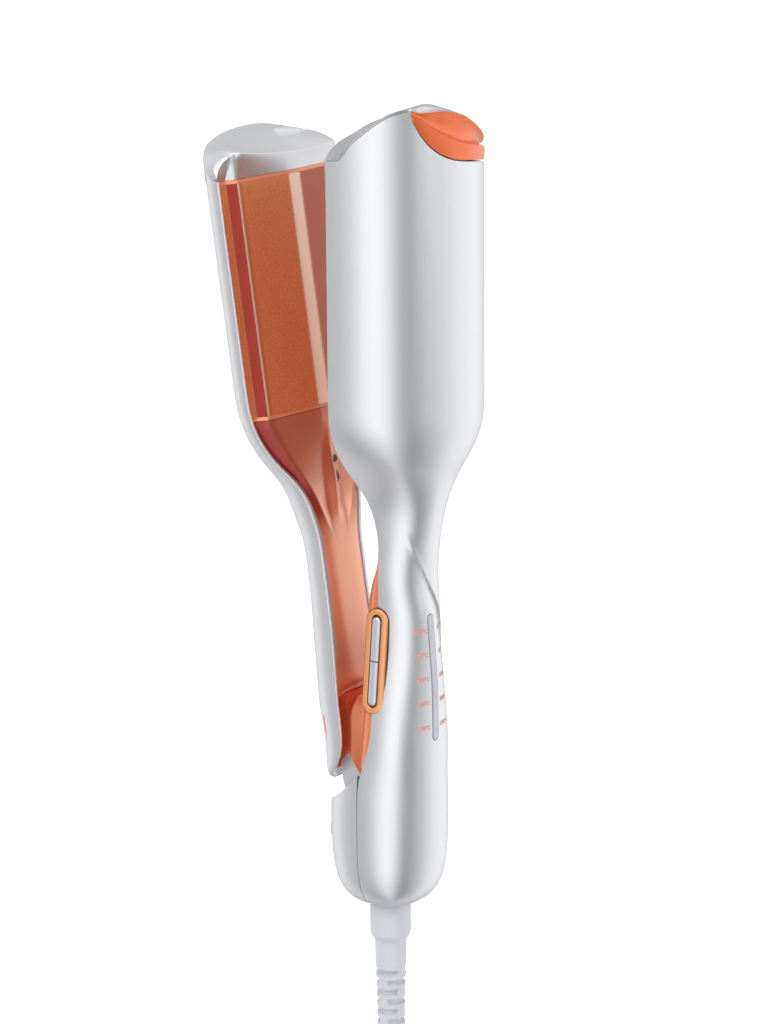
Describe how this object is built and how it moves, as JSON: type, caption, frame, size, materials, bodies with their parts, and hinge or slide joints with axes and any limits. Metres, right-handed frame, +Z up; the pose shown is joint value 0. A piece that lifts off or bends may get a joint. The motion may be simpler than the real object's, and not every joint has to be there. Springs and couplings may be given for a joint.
{
  "type": "hair waver",
  "caption": "Corded hair waver: a hand grip with a fixed arm and a sprung lever, both ending in wide heads that carry interlocking wave-shaped hair plates.",
  "frame": {"origin": "middle of the hand grip on the handle's axis, 60 mm above the base of the handle", "axes": "+Z up the handle towards the heads, +X out of the fixed arm away from the lever, +Y along the hinge pin"},
  "size_m": [0.0959, 0.065, 0.5013],
  "materials": {
    "silver_shell": "satin silver lacquer",
    "copper_cover": "glossy rose-copper lacquer",
    "copper_plate": "copper-coloured ceramic coat, fine satin grain",
    "orange_trim": "glossy metallic orange",
    "silver_button": "satin silver",
    "lens": "frosted translucent",
    "grey_inner": "moulded matte",
    "dark_carrier": "moulded matte",
    "heater_metal": "extruded",
    "mica": "pressed mica sheet",
    "circuit_board": "solder-masked laminate",
    "steel": "plated",
    "cord_grey": "soft satin sheath",
    "plug_grey": "moulded satin",
    "plug_metal": "nickel-plated"
  },
  "bodies": {
    "handle": {"main_shell": "silver_shell", "back_shell": "silver_shell", "main_inner_cover": "copper_cover", "main_end_cap": "silver_shell", "main_tip_grip": "orange_trim", "main_plate": "copper_plate", "main_plate_frame": "dark_carrier", "main_heater": "heater_metal", "main_insulator": "mica", "main_screws": "steel", "thermal_fuse": "steel", "control_board": "circuit_board", "tact_switches": "dark_carrier", "button_bezel": "orange_trim", "light_lens": "lens", "led_strip": "circuit_board", "hinge_block": "grey_inner", "hinge_pin": "steel", "hinge_spring": "steel", "swivel_socket": "grey_inner"},
    "lever": {"lever_shell": "silver_shell", "lever_inner_cover": "copper_cover", "lever_end_cap": "silver_shell", "lever_tip_grip": "orange_trim", "lever_plate": "copper_plate", "lever_plate_frame": "dark_carrier", "lever_heater": "heater_metal", "lever_insulator": "mica", "lever_tongue": "grey_inner", "lever_screws": "steel"},
    "up_button": {"button_up": "silver_button"},
    "down_button": {"button_down": "silver_button"},
    "lock": {"lock_slider": "silver_shell"},
    "lead": {"strain_relief": "cord_grey", "cord": "cord_grey", "cord_hank": "cord_grey", "cord_tail": "cord_grey", "cord_tie": "dark_carrier", "plug_body": "plug_grey", "plug_pins": "plug_metal"}
  },
  "joints": [
    {"name": "lever_pivot", "type": "hinge", "parent": "handle", "child": "lever", "pos_m": [-0.003, 0, -0.032], "axis": [0, 1, 0], "range_deg": [0, 8.6], "stiffness_Nm_per_rad": 0.5, "springref_deg": -34.38},
    {"name": "button_up_press", "type": "slide", "parent": "handle", "child": "up_button", "axis": [0, 0.9919, -0.1271], "range_m": [0, 0.0008], "stiffness_N_per_m": 700, "springref_m": -0.001},
    {"name": "button_down_press", "type": "slide", "parent": "handle", "child": "down_button", "axis": [0, 0.9919, -0.1271], "range_m": [0, 0.0008], "stiffness_N_per_m": 700, "springref_m": -0.001},
    {"name": "lock_slide", "type": "slide", "parent": "handle", "child": "lock", "axis": [0, 0, 1], "range_m": [0, 0.005]},
    {"name": "cord_swivel", "type": "hinge", "parent": "handle", "child": "lead", "pos_m": [0, 0, -0.06], "axis": [0, 0, 1], "continuous": true}
  ]
}
